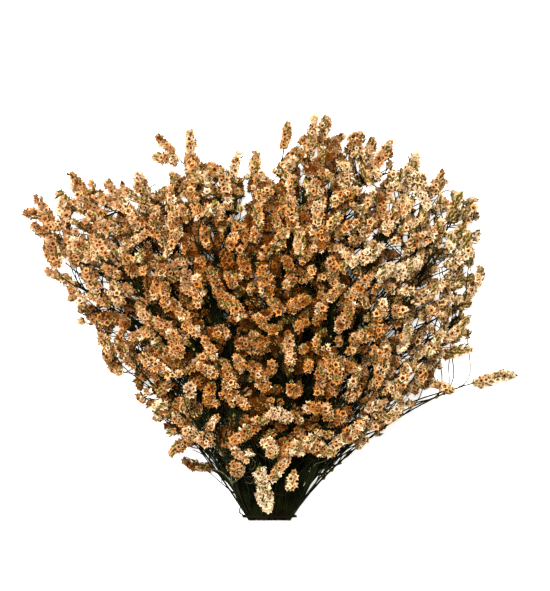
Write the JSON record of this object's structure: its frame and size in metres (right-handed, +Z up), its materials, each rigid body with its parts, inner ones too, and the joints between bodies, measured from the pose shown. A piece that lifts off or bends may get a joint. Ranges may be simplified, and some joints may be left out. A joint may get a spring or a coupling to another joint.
{
  "type": "dried statice bunch",
  "caption": "Tied bunch of dried statice lying on its side: dark wiry stems fan out into a wide head of small papery tan flower spikes.",
  "frame": {"origin": "on the table under the middle of the bunch's box, as it lies", "axes": "+Z up from the table, +Y from the cut stem ends to the flower heads, +X across the fan"},
  "size_m": [0.3665, 0.304, 0.152],
  "materials": {
    "florets": "dry papery petals, matte",
    "twine": "dark twisted cord, matte"
  },
  "bodies": {
    "root": {"spray_01": "florets", "spray_02": "florets", "spray_03": "florets", "spray_04": "florets", "spray_05": "florets", "spray_06": "florets", "spray_07": "florets", "spray_08": "florets", "spray_09": "florets", "spray_10": "florets", "spray_11": "florets", "spray_12": "florets", "spray_13": "florets", "spray_14": "florets", "spray_15": "florets", "spray_16": "florets", "spray_17": "florets", "spray_18": "florets", "spray_19": "florets", "spray_20": "florets", "spray_21": "florets", "spray_22": "florets", "spray_23": "florets", "spray_24": "florets", "spray_25": "florets", "spray_26": "florets", "spray_27": "florets", "spray_28": "florets", "spray_29": "florets", "spray_30": "florets", "spray_31": "florets", "spray_32": "florets", "spray_33": "florets", "spray_34": "florets", "spray_35": "florets", "spray_36": "florets", "spray_37": "florets", "spray_38": "florets", "spray_39": "florets", "tie": "twine"}
  },
  "joints": []
}
